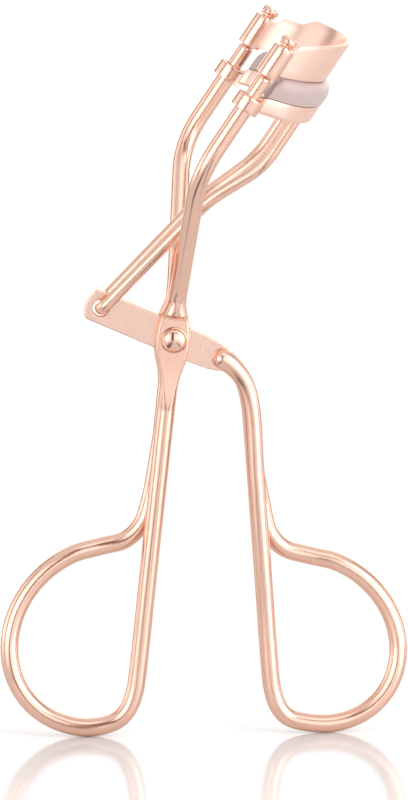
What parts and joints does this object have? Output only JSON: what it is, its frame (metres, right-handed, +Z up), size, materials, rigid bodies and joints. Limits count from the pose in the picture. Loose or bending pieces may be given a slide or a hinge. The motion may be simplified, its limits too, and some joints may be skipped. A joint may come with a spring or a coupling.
{
  "type": "eyelash curler",
  "caption": "Scissor-type eyelash curler: looped wire handles on a rivet, a forked frame with a curved fixed jaw, and a linked sliding lower jaw with a silicone pad.",
  "frame": {"origin": "centre of the footprint box on the plane that touches the lowest line of both finger loops", "axes": "+Z up along the handles towards the jaws, +Y from the front leaf to the rear leaf along the rivet, +X from the frame handle's loop towards the lever handle's loop and the jaws' open side"},
  "size_m": [0.059, 0.0342, 0.104],
  "materials": {
    "polished_wire": "polished rose-gold plate",
    "lever_metal": "polished rose-gold plate, satin on the flat plate",
    "link_metal": "polished rose-gold plate",
    "rivet_metal": "satin rose-gold plate",
    "jaw_metal": "satin rose-gold plate",
    "cap_metal": "polished rose-gold plate",
    "silicone": "translucent pale grey-pink silicone"
  },
  "bodies": {
    "frame": {"frame_wire": "polished_wire", "upper_jaw": "jaw_metal", "post_cap_front": "cap_metal", "post_cap_rear": "cap_metal", "pivot_rivet": "rivet_metal"},
    "lever": {"lever": "lever_metal"},
    "carriage": {"lower_jaw": "jaw_metal", "pad": "silicone"},
    "link": {"link_wire": "link_metal"}
  },
  "joints": [
    {"name": "lever_hinge", "type": "hinge", "parent": "frame", "child": "lever", "pos_m": [-0.0045, 0, 0.058], "axis": [0, -1, 0], "range_deg": [0, 30]},
    {"name": "jaw_slide", "type": "slide", "parent": "frame", "child": "carriage", "axis": [-0.5592, 0, -0.829], "range_m": [0, 0.0052]},
    {"name": "link_swing", "type": "hinge", "parent": "carriage", "child": "link", "pos_m": [0.0128, 0, 0.09033], "axis": [0, -1, 0], "range_deg": [0, 3.4]}
  ],
  "couplings": [
    {"joint": "jaw_slide", "follows": "lever_hinge", "m_per_rad": 0.0097692},
    {"joint": "link_swing", "follows": "lever_hinge", "ratio": 0.1088}
  ]
}
